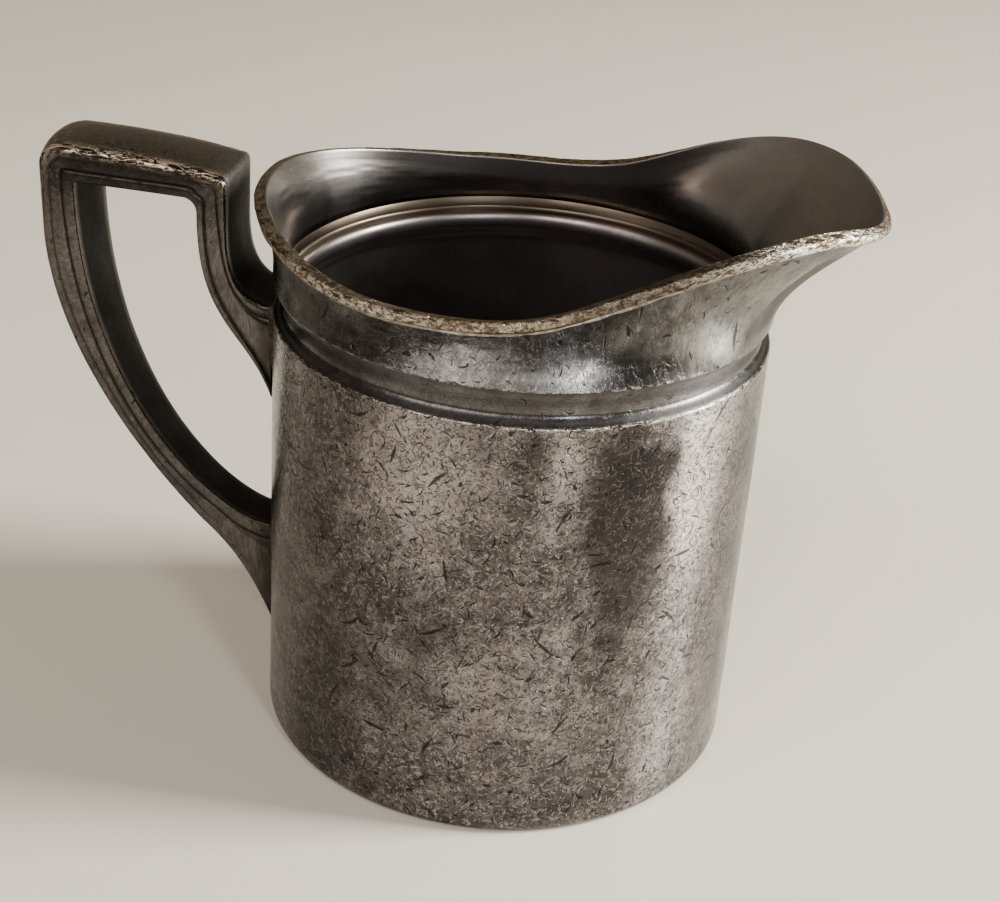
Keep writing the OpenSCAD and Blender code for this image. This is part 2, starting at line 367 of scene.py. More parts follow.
        return self.times(self.span(across, 0.0, 0.6), on)


# ---------------------------------------------------------------- materials
def silver(name, base, dark, light, rough, grain, nicked, worn):
    """Worn plate: cloudy tarnished tone, dense fine curved scratches and single nicks, with painted shade
    and painted highlight from the mask.
    """
    n = Nodes(name)
    wear, dirt_and_shade, stain_and_shade, rub_and_highlight = n.mask()
    cloud = n.noise(n.pos(0.045, 3.1), 4.0, 0.6, 0.5)
    blotch = n.noise(n.pos(0.22, 7.7), 3.0, 0.6, 0.8)
    fine = n.noise(n.uv(1.5, 1.7, 8.0), 3.0, 0.62, 1.6)
    # Curved scratches: two dark sets and a light one.
    curl_a = n.strokes(0.80, 0.050, 2.0, 0.46)
    curl_b = n.strokes(0.50, 0.032, 21.0, 0.48)
    light_a = n.strokes(0.66, 0.040, 35.0, 0.47)
    lines = n.highest(curl_a, n.times(curl_b, 0.85))
    # Nicks from large to small, then small ones with a bright burr.
    nicks = n.highest(n.dashes(0.24, 0.66, 0.052, 2.0, 0.40 * nicked),
                      n.dashes(0.42, 0.70, 0.075, 17.0, 0.70 * nicked),
                      n.dashes(0.15, 0.24, 0.070, 71.0, 0.6 * nicked),
                      n.dashes(0.11, 0.50, 0.045, 83.0, 0.5 * nicked))
    small = n.dashes(0.64, 0.74, 0.090, 29.0, 0.85 * nicked)
    burrs = n.highest(n.dashes(0.58, 0.74, 0.080, 43.0, 0.75 * nicked),
                      n.dashes(0.38, 0.74, 0.050, 57.0, 0.6 * nicked))
    light_on = n.times(n.highest(light_a, burrs), n.span(stain_and_shade, 0.1, 0.8, 1.0, 0.3))
    mottle = n.span(fine, 0.52, 0.36)
    chips = n.span(n.noise(n.uv(0.5, 1.2, 14.0), 4.0, 0.65, 1.6), 0.505, 0.535)
    bare = n.times(wear, chips)
    # Colour, from the plate itself to what lies on top of it.
    cloudy = n.plus(n.times(cloud, 0.5), n.times(blotch, 0.5))
    tone = n.ramp(cloudy, (0.39, dark), (0.50, base), (0.62, light))
    # Rubbing and painted highlight lighten the plate; tarnishing and painted shade darken it.
    tone = n.mix(n.times(rub_and_highlight, 0.9), tone, shade(light, 1.85))
    tone = n.mix(n.times(stain_and_shade, 0.85), tone, shade(dark, 0.38))
    tone = n.mix(n.times(mottle, 0.6 * grain), tone, shade(dark, 0.7))
    tone = n.mix(n.times(light_on, 0.65 * grain), tone, shade(light, 1.35))
    tone = n.mix(n.times(lines, 0.70 * grain), tone, shade(dark, 0.4))
    tone = n.mix(n.times(small, 0.8), tone, shade(dark, 0.35))
    tone = n.mix(n.times(nicks, 0.85), tone, shade(dark, 0.22))
    tone = n.mix(bare, tone, shade(worn))
    # Dirt in the hollows and painted shade: dark and less metallic.
    tone = n.mix(n.times(dirt_and_shade, 0.9), tone, shade(dark, 0.16))
    n.link(tone, n.bsdf.inputs["Base Color"])
    n.link(n.span(dirt_and_shade, 0.1, 1.0, 1.0, 0.1), n.bsdf.inputs["Metallic"])
    n.link(n.span(dirt_and_shade, 0.1, 1.0, 0.5, 0.1), n.bsdf.inputs["Specular IOR Level"])
    shine = n.span(n.plus(cloud, n.times(fine, 0.5)), 0.6, 0.9, rough[1], rough[0])
    matt = n.plus(n.times(dirt_and_shade, 0.4), n.times(bare, 0.22))
    n.link(n.plus(shine, matt), n.bsdf.inputs["Roughness"])
    h = n.times(fine, 0.16 * grain)
    h = n.minus(h, n.times(lines, 0.16 * grain))
    h = n.plus(h, n.times(light_on, 0.16 * grain))
    h = n.minus(h, n.times(small, 0.22))
    h = n.minus(h, n.times(nicks, 0.5))
    h = n.plus(h, n.times(bare, 0.35))
    n.link(n.bump(h, 1.0, 0.11), n.bsdf.inputs["Normal"])
    return n.mat


def plain_inside(name, base, dark, rough, matt):
    """Inner faces: dull and streaky, going matt where the mask's red is high."""
    n = Nodes(name)
    dull, dirt_and_shade, stain_and_shade, _ = n.mask()
    cloud = n.noise(n.pos(0.06, 9.0), 4.0, 0.6, 0.8)
    streak = n.noise(n.uv(0.12, 2.2, 5.0), 3.0, 0.6, 0.3)
    grain = n.noise(n.uv(1.3, 2.4, 12.0), 3.0, 0.6, 0.8)
    tone = n.ramp(cloud, (0.34, dark), (0.66, base))
    tone = n.mix(n.span(streak, 0.52, 0.68, 0.0, 0.3), tone, shade(dark))
    tone = n.mix(n.span(grain, 0.55, 0.7, 0.0, 0.3), tone, shade(dark, 0.5))
    tone = n.mix(n.times(dull, 0.8), tone, shade(matt))
    tone = n.mix(stain_and_shade, tone, (0.20, 0.115, 0.095, 1))
    # Painted shade on the inner ledge and along the foot of the mouth's inside.
    tone = n.mix(dirt_and_shade, tone, (0.085, 0.062, 0.038, 1))
    n.link(tone, n.bsdf.inputs["Base Color"])
    n.link(n.span(dull, 0.0, 1.0, 1.0, 0.8), n.bsdf.inputs["Metallic"])
    smooth_r = n.span(cloud, 0.3, 0.7, rough[1], rough[0])
    n.link(n.plus(smooth_r, n.times(dull, 0.25)), n.bsdf.inputs["Roughness"])
    h = n.plus(n.times(streak, 0.25), n.times(grain, 0.4))
    n.link(n.bump(h, 0.6, 0.025), n.bsdf.inputs["Normal"])
    return n.mat


def rim_metal(name):
    """Base metal where the plate has worn through: brown, gold and dark, mottled."""
    n = Nodes(name)
    wear, _, stain_and_shade, _ = n.mask()
    blot = n.noise(n.uv(0.42, 0.75, 6.0), 4.0, 0.6, 1.4)
    grain = n.noise(n.uv(1.1, 1.5, 1.0), 4.0, 0.65, 1.4)
    pits = n.noise(n.uv(0.75, 1.1, 18.0), 3.0, 0.6, 1.0)
    tone = n.ramp(blot, (0.36, (0.065, 0.042, 0.027)), (0.46, (0.18, 0.133, 0.088)),
                  (0.55, (0.27, 0.21, 0.14)), (0.66, (0.38, 0.31, 0.22)))
    tone = n.mix(n.span(grain, 0.53, 0.62, 0.0, 0.5), tone, (0.43, 0.35, 0.24, 1))
    # Tarnishing and painted shade from the mask.
    tone = n.mix(n.times(stain_and_shade, 0.9), tone, (0.065, 0.045, 0.029, 1))
    bright = n.times(wear, n.span(n.plus(grain, blot), 0.94, 1.08))
    tone = n.mix(bright, tone, (0.88, 0.86, 0.80, 1))
    tone = n.mix(n.span(pits, 0.44, 0.37, 0.0, 0.85), tone, (0.035, 0.02, 0.013, 1))
    tone = n.mix(n.span(grain, 0.44, 0.36, 0.0, 0.7), tone, (0.06, 0.038, 0.026, 1))
    n.link(tone, n.bsdf.inputs["Base Color"])
    n.bsdf.inputs["Metallic"].default_value = 1.0
    n.link(n.span(blot, 0.35, 0.65, 0.45, 0.24), n.bsdf.inputs["Roughness"])
    h = n.plus(n.plus(n.times(blot, 0.7), n.times(grain, 0.9)), pits)
    n.link(n.bump(h, 1.0, 0.2), n.bsdf.inputs["Normal"])
    return n.mat


def solder_metal(name, base, dark):
    """Dull lumpy solder between two tones."""
    n = Nodes(name)
    lump = n.noise(n.pos(0.55, 2.0), 4.0, 0.65, 0.8)
    grain = n.noise(n.pos(2.4, 5.0), 2.0, 0.6, 0.3)
    tone = n.ramp(lump, (0.35, dark), (0.65, base))
    n.link(tone, n.bsdf.inputs["Base Color"])
    n.bsdf.inputs["Metallic"].default_value = 0.85
    n.link(n.span(lump, 0.35, 0.65, 0.6, 0.38), n.bsdf.inputs["Roughness"])
    n.link(n.bump(n.plus(lump, n.times(grain, 0.4)), 0.8, 0.15),
           n.bsdf.inputs["Normal"])
    return n.mat


M_BODY = silver("worn_plate_body", base=(0.132, 0.117, 0.115), dark=(0.057, 0.0495, 0.049),
                light=(0.265, 0.241, 0.236), rough=(0.17, 0.30), grain=1.0, nicked=1.0,
                worn=(0.55, 0.51, 0.47))
M_GROOVE = silver("worn_plate_groove", base=(0.095, 0.089, 0.088), dark=(0.060, 0.052, 0.052),
                  light=(0.14, 0.137, 0.14), rough=(0.20, 0.32), grain=0.35, nicked=0.1,
                  worn=(0.46, 0.40, 0.34))
M_COLLAR = silver("worn_plate_collar", base=(0.11, 0.106, 0.103), dark=(0.052, 0.048, 0.046),
                  light=(0.20, 0.194, 0.188), rough=(0.19, 0.31), grain=0.5, nicked=0.35,
                  worn=(0.48, 0.44, 0.39))
M_INSIDE = plain_inside("dark_inside", base=(0.36, 0.325, 0.32), dark=(0.19, 0.17, 0.175),
                        rough=(0.28, 0.39), matt=(0.2, 0.18, 0.15))
M_MOUTH = plain_inside("mouth_inside", base=(0.42, 0.40, 0.385), dark=(0.22, 0.21, 0.205),
                       rough=(0.20, 0.32), matt=(0.12, 0.105, 0.085))
M_HANDLE = silver("worn_plate_handle", base=(0.082, 0.073, 0.068), dark=(0.040, 0.035, 0.032),
                  light=(0.13, 0.118, 0.11), rough=(0.22, 0.36), grain=0.55, nicked=0.12,
                  worn=(0.78, 0.62, 0.49))
M_RIM = rim_metal("rim_base_metal")
M_SEAM = solder_metal("seam_solder", base=(0.45, 0.42, 0.37), dark=(0.14, 0.12, 0.10))
M_SOLDER = solder_metal("brown_solder", base=(0.10, 0.062, 0.044), dark=(0.035, 0.022, 0.017))


# --------------------------------------------------------------- rim, collar
def rim_terms(a):
    """How much of lip, back and side there is at the angle a from the lip; they add up to 1."""
    lip = ease(1 - a / LIP_ANGLE)
    back = ease((a - LIP_ANGLE) / (180 - LIP_ANGLE))
    return lip, back, 1 - lip - back


def rim_rz(a):
    """Radius and height of the rim's path."""
    lip, back, _ = rim_terms(a)
    r = MOUTH_R + LIP_OUT * lip + BACK_OUT * back
    z = (MOUTH_Z + BACK_UP * ease((a - 112) / 68) + LIP_UP * ease((112 - a) / 95) ** 2
         - LIP_DIP / (1 + (a / 25) ** 2) ** 1.5)
    return r, z


def leans(a):
    """How far the collar's outer face leans out at its foot and at its top, in degrees."""
    lip, back, side = rim_terms(a)
    return -SIDE_LEAN * side, LIP_LEAN * lip ** 0.8 + BACK_LEAN * back - SIDE_LEAN * 0.55 * side


def collar_ctrl(a):
    """Bezier control points of the collar's outer face at each angle: (angles, 4, 2)."""
    r, z = rim_rz(a)
    s, t = (np.radians(x) for x in leans(a))
    less = 0.1 * rim_terms(a)[0]
    crease = np.hypot(a - CREASE_ANGLE, 1.0) / 8
    ridge = np.stack([1.0 * np.exp(-crease), np.zeros_like(a)], -1)
    up = np.maximum(0, np.sin(t))
    p3 = np.stack([r - RIM_PROUD * np.cos(t) - RIM_H * up,
                   z - COLLAR_WALL * up - RIM_H * np.cos(t)], -1)
    p0 = np.stack([np.full_like(a, BODY_R), np.full_like(a, COLLAR_Z)], -1)
    c = np.linalg.norm(p3 - p0, axis=-1)
    rise, back = (0.52 - less) * (p3[:, 1] - p0[:, 1]), (0.36 - less) * c
    p1 = p0 + rise[:, None] * np.stack([np.sin(s), np.cos(s)], -1) + ridge
    p2 = p3 - back[:, None] * np.stack([np.sin(t), np.cos(t)], -1) + ridge
    return np.stack([p0, p1, p2, p3], 1)


def collar_out(a, t):
    """Outer face: (angles, levels, 2) radius and height, and its lean there."""
    p = collar_ctrl(a)[:, None]
    t = t[None, :, None]
    q = ((1 - t) ** 3 * p[:, :, 0] + 3 * (1 - t) ** 2 * t * p[:, :, 1]
         + 3 * (1 - t) * t * t * p[:, :, 2] + t ** 3 * p[:, :, 3])
    d = ((1 - t) ** 2 * (p[:, :, 1] - p[:, :, 0]) + 2 * (1 - t) * t * (p[:, :, 2] - p[:, :, 1])
         + t * t * (p[:, :, 3] - p[:, :, 2]))
    return q, np.arctan2(d[..., 0], d[..., 1])


def fold(theta):
    """The angle from the lip in degrees, the same on both sides."""
    a = np.degrees(theta) % 360
    return np.where(a > 180, 360 - a, a)


# ---------------------------------------------------------------- body shell
# Uneven tone of the plate: angle from the lip, height in mm, their spreads, and
# how far the place is darkened (above 0) or lightened (below 0). On the side the camera
# sees the spots are mostly painted reflection, painted shade in dark bands and painted
# highlight in bright strips; on the far side they are tarnishing and rubbing.
BODY_TONES = [
    (304, 56, 9, 19, 1.9), (302, 45, 7, 9, 1.6), (307, 63, 7, 8, 1.6), (258, 38, 9, 7, 0.4),
    (252, 27, 20, 14, 0.8), (241, 66, 9, 9, 0.4), (347, 46, 9, 34, 0.9), (300, 42, 8, 6, 0.5),
    (281, 67, 4, 5, 0.7), (236, 16, 15, 18, 0.5), (218, 34, 18, 34, 0.3), (262, 8, 26, 6, 0.35),
    (272, 50, 6, 5, 0.35), (257, 62, 13, 12, -0.75), (324, 60, 7, 18, -1.9), (316, 20, 8, 18, -0.2),
    (289, 64, 4, 5, -0.8), (272, 26, 16, 14, -0.2), (60, 40, 14, 26, 0.6), (120, 55, 20, 14, 0.5),
    (160, 20, 16, 12, 0.6), (20, 30, 14, 20, 0.4), (90, 18, 20, 12, -0.4), (350, 25, 12, 16, -0.2),
    (150, 60, 18, 12, -0.4),
]
# The same for the collar, with heights as a share of its own height. On the side the camera
# sees they are mostly painted shade and painted highlight, as beside the crease; on the far
# side tarnishing and rubbing.
COLLAR_TONES = [
    (303, 0.3, 7, 0.3, 0.8), (322, 0.2, 8, 0.22, -0.8), (285, 0.15, 8, 0.14, -0.8),
    (250, 0.15, 18, 0.14, -0.15), (344, 0.5, 7, 0.6, 0.85), (331, 0.5, 4, 0.5, -0.4),
    (238, 0.5, 20, 0.6, 0.75), (224, 0.4, 10, 0.8, 0.9), (40, 0.5, 18, 0.4, 0.5),
    (140, 0.4, 16, 0.3, 0.5), (80, 0.2, 14, 0.2, -0.4),
]
DENT_COUNT = 420


def tone_spots(tones, deg, height, wobble):
    """How far each place is darkened by tarnishing and painted shade, and how far it is lightened by rubbing
    and painted highlight, 0 to 1.
    """
    tarnish_and_shade = np.zeros_like(wobble)
    polish_and_highlight = np.zeros_like(wobble)
    for at, up, wide, tall, amount in tones:
        across = off_angle(deg, at) / wide + wobble
        along = (height - up) / tall + wobble
        spot = np.exp(-across ** 2 - along ** 2)
        if amount > 0:
            tarnish_and_shade = np.maximum(tarnish_and_shade, amount * spot)
        else:
            polish_and_highlight = np.maximum(polish_and_highlight, -amount * spot)
    return np.minimum(tarnish_and_shade, 1), np.minimum(polish_and_highlight, 1)


def build_body():
    """The drawn cup with its bottom, the rolled groove and the straight neck."""
    turn_r = math.radians(50)
    wall_top = GROOVE_Z - 2
    foot, in_r = BODY_R - CORNER_R, BODY_R - WALL
    lip = np.array([BODY_R - GROOVE_EDGE * (1 - math.cos(turn_r)),
                    wall_top + GROOVE_EDGE * math.sin(turn_r)])
    deep = np.array([BODY_R - GROOVE_DEPTH, GROOVE_Z])
    start = lip + 0.8 * np.array([-math.sin(turn_r), math.cos(turn_r)])
    neck = np.array([BODY_R - NECK_IN, COLLAR_Z])
    outside = [
        resample([[0.0, BASE_LIFT], [foot - FOOT_W - BASE_LIFT, BASE_LIFT]], 16),
        resample([[foot - FOOT_W - BASE_LIFT, BASE_LIFT], [foot - FOOT_W, 0.05]], 4)[1:],
        resample([[foot - FOOT_W, 0.0], [foot, 0.0]], 4)[1:],
        arc(foot, CORNER_R, CORNER_R, -90, 0, 10)[1:],
        resample([[BODY_R, CORNER_R], [BODY_R, wall_top]], 190)[1:],
        arc(BODY_R - GROOVE_EDGE, wall_top, GROOVE_EDGE, 0, 50, 6)[1:],
        bezier([lip, start, deep - [0, 0.7], deep], 14)[1:],
        bezier([deep, deep + [0, 1.3], neck + [-0.4, -1.1], neck], 16)[1:],
    ]
    ridge_r, fr = in_r - GROOVE_DEPTH, CORNER_R + 1
    rise = np.array([BODY_R - COLLAR_WALL, GROOVE_Z + 2.2])
    floor_z = BASE_LIFT + BASE_T
    inside = [
        [[BODY_R - COLLAR_WALL + 0.1, COLLAR_Z], [BODY_R - COLLAR_WALL, COLLAR_Z - 0.08]],
        bezier([rise, rise - [0.25, 0.9], [ridge_r, GROOVE_Z + 1.8], [ridge_r, GROOVE_Z - 0.4]], 26),
        bezier([[ridge_r, GROOVE_Z - 0.4], [ridge_r, GROOVE_Z - 1.9], [in_r, GROOVE_Z - 2.2],
                [in_r, GROOVE_Z - 4]], 16)[1:],
        resample([[in_r, GROOVE_Z - 4], [in_r, floor_z + fr]], 30)[1:],
        arc(in_r - fr, floor_z + fr, fr, 0, -90, 8)[1:],
        resample([[in_r - fr, floor_z], [0.0, floor_z]], 16)[1:],
    ]
    n_under = sum(len(p) for p in outside[:3])
    n_wall = sum(len(p) for p in outside[:5])
    n_out = sum(len(p) for p in outside)
    prof = chain(*outside, *inside)
    prof[0, 0] = prof[-1, 0] = 0.02
    nu = TURN_STEPS
    theta = np.linspace(0, 2 * math.pi, nu, endpoint=False)[:, None]
    r = np.broadcast_to(prof[:, 0], (nu, len(prof))).copy()
    z = np.broadcast_to(prof[:, 1], (nu, len(prof))).copy()
    u = theta / (2 * math.pi)
    v = z / 80
    level = np.arange(len(prof))[None]
    wall = (level >= n_under) & (level < n_wall + 6)
    fade = smooth((z - 0.4) / 3.0) * np.where(wall, 1.0, 0.0)
    d = 0.06 * noise(u, v, 9, 5, 1) + 0.03 * noise(u, v, 34, 11, 2) + 0.012 * noise(u, v, 110, 36, 3)
    # Small dents, each an oval hollow at a random place and angle.
    rng = np.random.default_rng(12)
    for _ in range(DENT_COUNT):
        ct, cz = rng.uniform(0, 2 * math.pi), rng.uniform(3, 68)
        ang = rng.uniform(0, math.pi)
        ln, wd, depth = rng.uniform(0.5, 1.5), rng.uniform(0.2, 0.34), rng.uniform(0.03, 0.08)
        du = (theta - ct + math.pi) % (2 * math.pi) - math.pi
        rows = np.abs(du[:, 0]) * BODY_R < 6
        x, y = du[rows] * BODY_R, z[rows] - cz
        p = (x * math.cos(ang) + y * math.sin(ang)) / ln
        q = (-x * math.sin(ang) + y * math.cos(ang)) / wd
        d[rows] -= depth * np.exp(-p * p - q * q)
    r += d * fade
    # The groove, then the masks: tarnishing with painted shade and painted highlight, painted shade in the
    # groove and on the inner ledge, worn edge.
    groove = (level >= n_wall + 5) & (level < n_out)
    r += np.where(groove, 0.03 * noise(u, v, 24, 20, 5), 0)
    deg = np.degrees(theta)
    masks = np.zeros((nu, len(prof), 4))
    masks[..., 3] = 1
    wobble = 0.45 * noise(u, v, 40, 14, 7) + 0.3 * noise(u, v, 110, 30, 8)
    # Tarnishing and rubbing, with painted shade and painted highlight, from BODY_TONES.
    tarnish_and_shade, polish_and_highlight = tone_spots(BODY_TONES, deg, z, wobble)
    rows = wall | (level < n_under)
    masks[..., 2] = np.where(rows, tarnish_and_shade, 0)
    masks[..., 3] = 1 - np.where(rows, polish_and_highlight, 0)
    # Painted shade: a dark line at the foot of the groove, and darkening in the groove under the collar's
    # edge.
    groove_foot_shade = np.exp(-((z - 70.55) / 0.28) ** 2) * (level >= n_wall + 4) * (level < n_out)
    masks[..., 1] = np.maximum(0.35 * groove_foot_shade, 0.5 * smooth((z - 74.3) / 1.0) * groove)
    edge = np.exp(-((z - 69.9) / 0.22) ** 2) * (level < n_out) * (level > n_under)
    masks[..., 0] = np.maximum(masks[..., 0], 0.6 * edge)
    # In the groove: a little tarnishing at 225 degrees, a painted highlight at 325 degrees.
    left = np.exp(-(off_angle(deg, 225) / 42) ** 2)
    groove_highlight = np.exp(-(off_angle(deg, 325) / 18) ** 2)
    masks[..., 2] = np.where(groove, 0.1 * left * np.ones_like(z), masks[..., 2])
    masks[..., 3] = np.where(groove, 1 - 0.45 * groove_highlight * np.ones_like(z), masks[..., 3])
    # Painted shade on the inner ledge below the collar, darkening it to a dark brown.
    ledge = (level >= n_out) & (z > GROOVE_Z)
    masks[..., 1] = np.where(ledge, 0.85 * smooth((z - GROOVE_Z - 0.9) / 0.5), masks[..., 1])
    mat_of = np.zeros(len(prof), int)
    mat_of[n_wall + 5:n_out] = 1
    mat_of[n_out:] = 2
    return ring("jug_body", turn(r, z, theta), [M_BODY, M_GROOVE, M_INSIDE], mat_of, masks, closed=False)


def mouth_dull(deg, up):
    """How matt the inside is, by angle and by share of the collar's height."""
    lip_in = 0.9 * np.exp(-(off_angle(deg, 0) / 46) ** 4)
    far_wall = 0.6 * np.exp(-((deg - 92) / 42) ** 2)
    return np.clip(lip_in * smooth((up - 0.1) / 0.3) + far_wall * smooth((up - 0.5) / 0.35), 0, 1)


def build_collar():
    """The band above the groove, drawn out into the pouring lip."""
    nu = TURN_STEPS
    theta = np.linspace(0, 2 * math.pi, nu, endpoint=False)
    a = fold(theta)
    t = np.concatenate([[0, 0.002, 0.006, 0.012, 0.02, 0.03], np.linspace(0.045, 0.985, 44), [0.995, 1.0]])
    q, lean = collar_out(a, t)
    leave = lean * ease(t / 0.3)[None]
    inner = q - COLLAR_WALL * np.stack([np.cos(leave), -np.sin(leave)], -1)
    u = (theta / (2 * math.pi))[:, None]
    v = np.broadcast_to(t, (nu, len(t)))
    wave = (0.05 * noise(u, v, 15, 4, 21) + 0.02 * noise(u, v, 60, 12, 22)) * ease(v * 4) * ease((1 - v) * 6)
    edge_r = 0.22
    rise = np.clip(q[..., 1] - COLLAR_Z, 0, edge_r)
    cut_in = edge_r - np.sqrt(np.maximum(edge_r ** 2 - (edge_r - rise) ** 2, 0))
    out_r, out_z = q[..., 0] + wave - cut_in, q[..., 1]
    in_r, in_z = inner[..., 0] + wave, inner[..., 1]
    foot = np.array([0.35, 0.65])[None]
    foot_r = out_r[:, :1] * foot + in_r[:, :1] * (1 - foot)
    foot_z = np.full_like(foot_r, COLLAR_Z)
    top_r, top_z = ((x[:, -1:] * 0.5 + y[:, -1:] * 0.5) for x, y in ((out_r, in_r), (out_z, in_z)))
    r = np.concatenate([out_r, top_r, in_r[:, ::-1], foot_r], 1)
    z = np.concatenate([out_z, top_z, in_z[:, ::-1], foot_z], 1)
    nt = len(t)
    mat_of = np.array([0] * (nt + 1) + [1] * nt + [0, 0])
    deg = np.degrees(theta)[:, None]
    masks = np.zeros((nu, r.shape[1], 4))
    masks[..., 3] = 1
    wobble = 0.4 * noise(u, v, 40, 4, 27) + 0.25 * noise(u, v, 110, 9, 28)
    # Tarnishing and rubbing, with painted shade and painted highlight, from COLLAR_TONES.
    tarnish_and_shade, polish_and_highlight = tone_spots(COLLAR_TONES, deg, v, wobble)
    masks[:, :nt, 2] = np.maximum(tarnish_and_shade, 0.35 * smooth((v - 0.45) / 0.4))
    masks[:, :nt, 0] = 0.5 * np.exp(-((out_z - COLLAR_Z) / 0.3) ** 2)
    masks[:, :nt, 3] = 1 - polish_and_highlight
    # Painted shade on the spout's face beyond the crease.
    past_crease_shade = smooth((30 - 13 * v - a[:, None]) / 2.0) * smooth((a[:, None] - 6) / 9)
    masks[:, :nt, 1] = 0.6 * past_crease_shade * smooth((v - 0.03) / 0.1) * smooth((0.95 - v) / 0.3)
    masks[:, nt - 3:nt, 1] = 0.45
    up = t[::-1][None]
    masks[:, nt + 1:2 * nt + 1, 0] = mouth_dull(deg, up)
    red = np.exp(-((deg - 52) / 11) ** 2) * np.exp(-((up - 0.6) / 0.25) ** 2)
    masks[:, nt + 1:2 * nt + 1, 2] = 0.45 * red
    # Painted shade along the foot of the mouth's inside.
    masks[:, nt + 1:2 * nt + 1, 1] = 0.95 * smooth((0.09 - up) / 0.05)
    return ring("jug_collar", turn(r, z, theta[:, None]), [M_COLLAR, M_MOUTH], mat_of, masks)


def build_rim():
    """The wire round the mouth: one section, leaning with the collar's top."""
    nu = RIM_STEPS
    theta = np.linspace(0, 2 * math.pi, nu, endpoint=False)
    a = fold(theta)
    end, lean = collar_out(a, np.array([1.0]))
    end, lean = end[:, 0], lean[:, 0]
    ro = RIM_ROUND
    low = RIM_PROUD - 0.3
    face = -COLLAR_WALL - 0.006
    sec = chain([[face, -0.1], [face + 0.012, -0.32], [face + 0.03, -0.5], [face + 0.3, -0.5], [0.0, -0.3],
                 [low * 0.6, 0.0]],
                arc(low, 0.3, 0.3, -90, 0, 5),
                [[RIM_PROUD, 0.6]],
                arc(RIM_PROUD - ro, RIM_H - ro, ro, 0, 90, 8),
                [[0.0, RIM_H + 0.02], [-0.35, RIM_H + 0.02]],
                arc(0.35 - COLLAR_WALL, RIM_H - 0.35, 0.35, 90, 180, 7),
                [[-COLLAR_WALL, 0.9], [-COLLAR_WALL, 0.5]])
    ns = len(sec)
    u = (theta / (2 * math.pi))[:, None]
    v = np.broadcast_to(np.linspace(0, 1, ns), (nu, ns))
    c = np.array([(-COLLAR_WALL + RIM_PROUD) / 2, RIM_H / 2])
    away = sec - c
    away /= np.linalg.norm(away, axis=1)[:, None]
    bump = 0.05 * noise(u, v, 40, 3, 31) + 0.045 * noise(u, v, 130, 7, 32) + 0.02 * noise(u, v, 400, 12, 33)
    bump -= 0.05
    keep = ((sec[:, 1] > 0.1) & (sec[:, 0] > -1.0))[None]
    off = sec[None] + away[None] * (bump * keep)[..., None]
    cl, sl = np.cos(lean)[:, None], np.sin(lean)[:, None]
    r = end[:, 0, None] + off[..., 0] * cl + off[..., 1] * sl
    z = end[:, 1, None] - off[..., 0] * sl + off[..., 1] * cl
    masks = np.zeros((nu, ns, 3))
    near = np.exp(-((np.degrees(theta) - 340) / 17) ** 2)[:, None]
    near_left = 0.3 * np.exp(-((np.degrees(theta) - 225) / 32) ** 2)[:, None]
    masks[..., 0] = np.clip(near * 1.1 + near_left + 0.1 * (sec[:, 0] > 0.5)[None], 0, 1)
    # Painted shade and tarnishing on the rim at 303 degrees, in line with the dark band painted on the body.
    masks[..., 2] = np.exp(-((np.degrees(theta) - 303) / 19) ** 2)[:, None]
    mat_of = np.where(sec[:, 0] < -0.98, 1, 0)
    masks[..., 2] *= mat_of != 1
    masks[..., 0] = np.where(mat_of == 1, mouth_dull(np.degrees(theta), 1.0)[:, None], masks[..., 0])
    return ring("jug_rim", turn(r, z, theta[:, None]), [M_RIM, M_MOUTH], mat_of, masks)


def build_seam():
    """The thin line of solder under the rim."""
    nu = RIM_STEPS
    theta = np.linspace(0, 2 * math.pi, nu, endpoint=False)
    a = fold(theta)
    q, lean = collar_out(a, np.array([0.93, 1.0]))
    end, top = q[:, 1], lean[:, 1]
    u = (theta / (2 * math.pi))[:, None]
    size = 0.42 + 0.08 * noise(u, u * 0, 150, 1, 41)[:, 0]
    cl, sl = np.cos(top), np.sin(top)
    pts = []
    for k in np.linspace(0, 1, 6):
        ang = math.pi / 2 * k
        x = size * (1 - math.sin(ang))
        y = -size * (1 - math.cos(ang)) * 1.4
        pts.append((end[:, 0] + x * cl + y * sl, end[:, 1] - x * sl + y * cl))
    pts.append((end[:, 0] - 0.3 * cl, end[:, 1] + 0.3 * sl))
    r = np.stack([p[0] for p in pts], 1)
    z = np.stack([p[1] for p in pts], 1)
    return ring("jug_rim_seam", turn(r, z, theta[:, None]), [M_SEAM])


# -------------------------------------------------------------------- handle
SIDE_EDGE = bezier([[LOW_W / 2, TAIL_Z - 1], [LOW_W / 2 + 0.9, 60],
                    [TOP_W / 2 - 0.3, 64], [TOP_W / 2, HANDLE_HI.z + 1]], 60)


def half_w(z):
    """Half the handle's width at the height z."""
    return np.interp(z, SIDE_EDGE[:, 1], SIDE_EDGE[:, 0])


